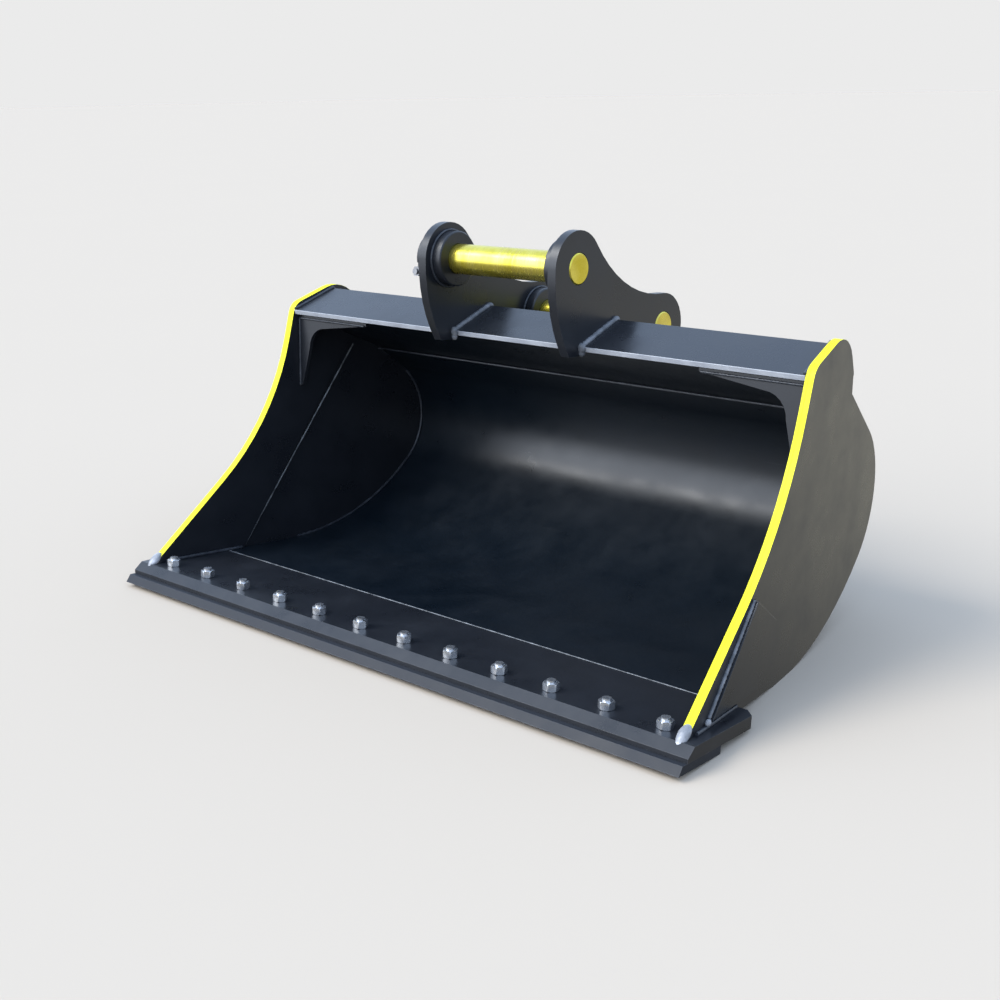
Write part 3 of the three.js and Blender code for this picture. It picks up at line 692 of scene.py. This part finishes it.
LINER_REAR_FOOT = (271.0, 0.0)
LINER_REAR_HEAD = (738.0, 655.0)
GUSSET_FRONT = 486.0
GUSSET_TOP = 684.0
WEAR_OUTLINE = ((67, 20), (251.5, 237), (377, 162), (377, 114), (303, 15))
inner_line = wrapper_line(SHELL + 2.5)[2:]
outer_line = wrapper_line(-0.8)
for word, side in (("left", -1), ("right", 1)):
    # liner to side plate, inside
    run = []
    for share in (0.012, 0.905):
        back = LINER_REAR_FOOT[0] + share * (LINER_REAR_HEAD[0] - LINER_REAR_FOOT[0]) + 2.2
        up = LINER_REAR_FOOT[1] + share * (LINER_REAR_HEAD[1] - LINER_REAR_FOOT[1])
        run.append((side * (half_inside(back, up) + LINER - 2.6), back, up))
    lay_bead(f"{word}_liner_seam", run, 2.8, highlighted_seam_weld)
    # wrapper to side plate, inside and outside
    path = [(side * (half_inside(*point) + LINER - 3), *point) for point in inner_line[:-3]]
    lay_bead(f"{word}_wrapper_bead_inside", path, 4.5, bead_paint, 7.0)
    path = [(side * (half_inside(*point) + LINER - 2.2), *point) for point in outer_line[1:]]
    lay_bead(f"{word}_wrapper_bead_outside", path, SMALL_BEAD, bead_paint, 7.0)
    # liner to blade inside, side plate to blade outside
    path = [(side * (half_inside(back, 0) - 3), back, 3.5) for back in (4, 262)]
    lay_bead(f"{word}_floor_bead_inside", path, FLOOR_BEAD, bead_paint)
    path = [(side * (half_inside(back, 0) + SIDE_OUTER + 2.5), back, 3) for back in (10, 206)]
    lay_bead(f"{word}_blade_bead_outside", path, FLOOR_BEAD, bead_paint)
    # beam to liner: along the top plate, then down the rear plate
    beam_end = [(LIP[0] + 3, LIP[1] + 3), (BEAM_REAR[0], BEAM_REAR[1] + 2), BEAM_FOOT]
    path = [(side * (half_inside(*point) - 3), *point) for point in beam_end]
    lay_bead(f"{word}_beam_bead", path, 5.5, bead_paint)
    # gusset to closing plate and liner, on its front face
    path = [(side * (half_inside(GUSSET_FRONT, 686) - 280), GUSSET_FRONT, GUSSET_TOP),
            (side * (half_inside(GUSSET_FRONT, 686) - 4), GUSSET_FRONT, GUSSET_TOP),
            (side * (half_inside(GUSSET_FRONT, 476) - 3), GUSSET_FRONT, 480)]
    lay_bead(f"{word}_gusset_bead", path, SMALL_BEAD, bead_paint)
    # wear plate, all round but its bottom edge
    path = [(side * (half_inside(*point) + SIDE_OUTER + 2), *point) for point in WEAR_OUTLINE]
    lay_bead(f"{word}_wear_bead_front", path[:2], 5.0, highlighted_ear_weld)
    lay_bead(f"{word}_wear_bead_rear", path[1:], SMALL_BEAD, bead_paint)
    lump(f"{word}_wear_bead_end", (side * (half_inside(60, 14) + SIDE_OUTER + 4), 61, 13),
         (6, 9, 8), 0.6, bare_weld)
    # foot of the front edge, run down over the blade's bevel
    foot_x = side * (half_inside(-20, 6) + 11)
    lump(f"{word}_foot_weld", (foot_x, -23, 9), (14, 27, 11), math.radians(40), bare_weld)
    lump(f"{word}_foot_weld_toe", (foot_x, -37, -4), (12, 12, 7), math.radians(36), bare_weld)

# ears to beam and wrapper, both faces of each ear
BOSS_BEAD_RADIUS = 75
COLLAR_BEAD_RADIUS = 65
straight_low = wrapper_line(0)[-2]
ear_seat = [(LIP[0] - 1, LIP[1] - 20), (LIP[0] - 1, LIP[1] + 1), (BEAM_REAR[0], BEAM_REAR[1] + 2),
            (BEAM_FOOT[0] + 1, BEAM_FOOT[1]), (straight_low[0] + 1, straight_low[1] + 1)]
for word, side in (("left", -1), ("right", 1)):
    for face, across in (("outer", EAR_OUTER + 2.5), ("inner", EAR_INNER - 2.5)):
        path = [(side * across, *point) for point in ear_seat]
        lay_bead(f"{word}_ear_bead_{face}", path, EAR_BEAD, highlighted_ear_weld)
        lump(f"{word}_ear_tip_{face}", (side * across, LIP[0] - 2, LIP[1] - 4), (12, 10, 15), 0.3,
             highlighted_ear_weld)
        lump(f"{word}_ear_drip_{face}", (side * across, LIP[0] + 1, LIP[1] - 17), (9, 8, 9), 0.0,
             highlighted_ear_weld)
    for place, centre in (("front", FRONT_PIN), ("rear", REAR_PIN)):
        round_bead(f"{word}_{place}_boss_bead", side * (EAR_INNER - 2), centre, BOSS_BEAD_RADIUS,
                   SMALL_BEAD, bead_paint)
for place, centre in (("front", FRONT_PIN), ("rear", REAR_PIN)):
    round_bead(f"{place}_collar_bead", -(EAR_OUTER + 2), centre, COLLAR_BEAD_RADIUS, SMALL_BEAD,
               bead_paint)


# ---- nuts ----------------------------------------------------------------------------------

EDGE_NUTS = 12
NUT_ACROSS_FLATS = 0.034
NUT_HEIGHT = 0.019
NUT_BORE = 0.0113
ROUND = 48  # facets of a turned face


def hex_nut(across_flats, height, bore):
    """A hexagon nut: its corners turned off at both faces, its bore countersunk."""
    to_corner = across_flats / math.sqrt(3)
    bpy.ops.object.select_all(action="DESELECT")
    bpy.ops.mesh.primitive_cylinder_add(vertices=6, radius=to_corner, depth=height)
    nut = bpy.context.object
    bpy.ops.mesh.primitive_cylinder_add(vertices=ROUND, radius=to_corner * 0.998, depth=height * 1.002)
    turning = bpy.context.object
    rims = turning.modifiers.new("rims", "BEVEL")
    rims.width = height * 0.16
    rims.segments = 2
    rims.limit_method = "ANGLE"
    rims.angle_limit = math.radians(60)
    apply_modifiers(turning)
    bpy.ops.mesh.primitive_cylinder_add(vertices=ROUND, radius=bore, depth=2 * height)
    drill = bpy.context.object
    bpy.ops.mesh.primitive_cone_add(vertices=ROUND, radius1=bore - 0.001, radius2=bore + 0.003,
                                    depth=0.004, location=(0, 0, height / 2))
    sink = bpy.context.object
    for tool, operation in ((turning, "INTERSECT"), (drill, "DIFFERENCE"), (sink, "DIFFERENCE")):
        only(nut)
        cut = nut.modifiers.new("cut", "BOOLEAN")
        cut.object = tool
        cut.operation = operation
        cut.solver = "EXACT"
        bpy.ops.object.modifier_apply(modifier="cut")
        bpy.data.objects.remove(tool)
    only(nut)
    bpy.ops.object.shade_smooth_by_angle(angle=math.radians(30))
    return nut


edge_nut = hex_nut(NUT_ACROSS_FLATS, NUT_HEIGHT, NUT_BORE)
for number in range(1, EDGE_NUTS + 1):
    node = f"edge_nut_{number:02d}"
    low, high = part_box(node)
    middle = (Vector(low) + Vector(high)) / 2
    copy = edge_nut.copy()
    copy.data = edge_nut.data.copy()
    bpy.context.scene.collection.objects.link(copy)
    turn = Matrix.Rotation(math.radians(weld_hand.uniform(0, 60)), 4, "Z")
    copy.matrix_world = Matrix.Translation(middle) @ Matrix.Rotation(-tilt, 4, "X") @ turn
    settle(copy)
    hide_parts(node)
    dress(copy, f"nut_{number:02d}", bright_zinc)
bpy.data.objects.remove(edge_nut)

for name, node in nodes.items():
    if name.startswith("edge_bolt_") or "_keeper_" in name and "collar" not in name:
        node.data.materials.clear()
        node.data.materials.append(keeper_zinc if "keeper" in name else bright_zinc)


# ---- floor, light and camera ---------------------------------------------------------------

FLOOR_SHADE = (0.534, 0.459, 0.372)  # warm, so that it looks neutral under the blue sky
BACKDROP = 0.831
FLOOR_SIZE = 400  # metres


def stage_finish():
    material, sheet, shader = new_material("studio_floor")
    cloud = sheet.noise(sheet.on_piece(), 0.7, 2.0)
    lighter = tuple(channel * 1.01 for channel in FLOOR_SHADE)
    sheet.join(sheet.blend(cloud, FLOOR_SHADE, lighter), shader.inputs["Base Color"])
    shader.inputs["Roughness"].default_value = 1.0
    shader.inputs["Specular IOR Level"].default_value = 0.0
    return material


bpy.ops.object.select_all(action="DESELECT")
bpy.ops.mesh.primitive_plane_add(size=FLOOR_SIZE, location=(0, 0, 0))
floor = bpy.context.object
floor.name = "studio_floor"
floor.data.materials.append(stage_finish())
floor.visible_glossy = False

bpy.context.scene.view_settings.view_transform = "Standard"

UNDERFOOT = (0.12, 0.118, 0.11)
BRIGHT_SKY_TOWARD = (-0.46, -0.80, 0.40)
BRIGHT_SKY = (4.2, 4.5, 5.0)

world = bpy.data.worlds.new("studio")
bpy.context.scene.world = world
world.use_nodes = True
sky = Sheet(world.node_tree)
for old in list(world.node_tree.nodes):
    world.node_tree.nodes.remove(old)
direction = sky.node("ShaderNodeTexCoord").outputs["Generated"]
parts = sky.node("ShaderNodeSeparateXYZ", {0: direction}).outputs
height_share = sky.spread(parts[2], -1.0, 1.0)
glow = sky.ramp(height_share, [
    (0.0, UNDERFOOT), (0.40, (0.30, 0.30, 0.29)), (0.49, (0.55, 0.56, 0.58)),
    (0.54, (0.85, 0.98, 1.15)), (0.70, (0.95, 1.20, 1.62)), (1.0, (0.85, 1.12, 1.6))])
# behind the bucket lies sunlit ground, darker close by
yard = sky.ramp(height_share, [
    (0.0, UNDERFOOT), (0.27, (0.16, 0.16, 0.155)), (0.33, (0.7, 0.68, 0.58)),
    (0.40, (1.0, 0.97, 0.82)), (0.43, (0.62, 0.62, 0.6)), (0.5, (0.6, 0.61, 0.63))])
behind = sky.math("MULTIPLY", sky.spread(parts[1], 0.3, 0.6), sky.math("LESS_THAN", parts[2], 0.0))
glow = sky.blend(behind, glow, yard)
# a broad bright patch of sky over the left shoulder
patch = sky.node("ShaderNodeVectorMath", {0: direction, 1: BRIGHT_SKY_TOWARD},
                 operation="DOT_PRODUCT").outputs["Value"]
glow = sky.blend(sky.math("POWER", sky.spread(patch, 0.80, 1.0), 1.3), glow, BRIGHT_SKY)
light = sky.node("ShaderNodeBackground", {"Color": glow, "Strength": 1.0})
seen = sky.node("ShaderNodeBackground", {"Color": (BACKDROP,) * 3 + (1.0,), "Strength": 1.0})
looked_at = sky.node("ShaderNodeLightPath").outputs["Is Camera Ray"]
mixed = sky.node("ShaderNodeMixShader", {0: looked_at, 1: light.outputs[0], 2: seen.outputs[0]})
sky.node("ShaderNodeOutputWorld", {"Surface": mixed.outputs[0]})


# even light from one direction, as from a wide softbox far away
KEY_TOWARD = (0.62, 0.75, -1.0)
bpy.ops.object.light_add(type="SUN", location=(0, 0, 4))
key = bpy.context.object
key.name = "key"
key.data.energy = 1.9
key.data.angle = math.radians(30)
key.data.color = (1.0, 0.985, 0.95)
key.rotation_euler = Vector(KEY_TOWARD).to_track_quat("-Z", "Y").to_euler()

CAMERA_PLACE = (2.2374, -2.6433, 1.3479)
CAMERA_TURN = (73.035, 1.019, 39.914)
bpy.ops.object.camera_add(location=CAMERA_PLACE)
camera = bpy.context.object
camera.rotation_euler = [math.radians(angle) for angle in CAMERA_TURN]
camera.data.sensor_width = 36.0
camera.data.lens = 48.38
camera.data.clip_end = 300
bpy.context.scene.camera = camera
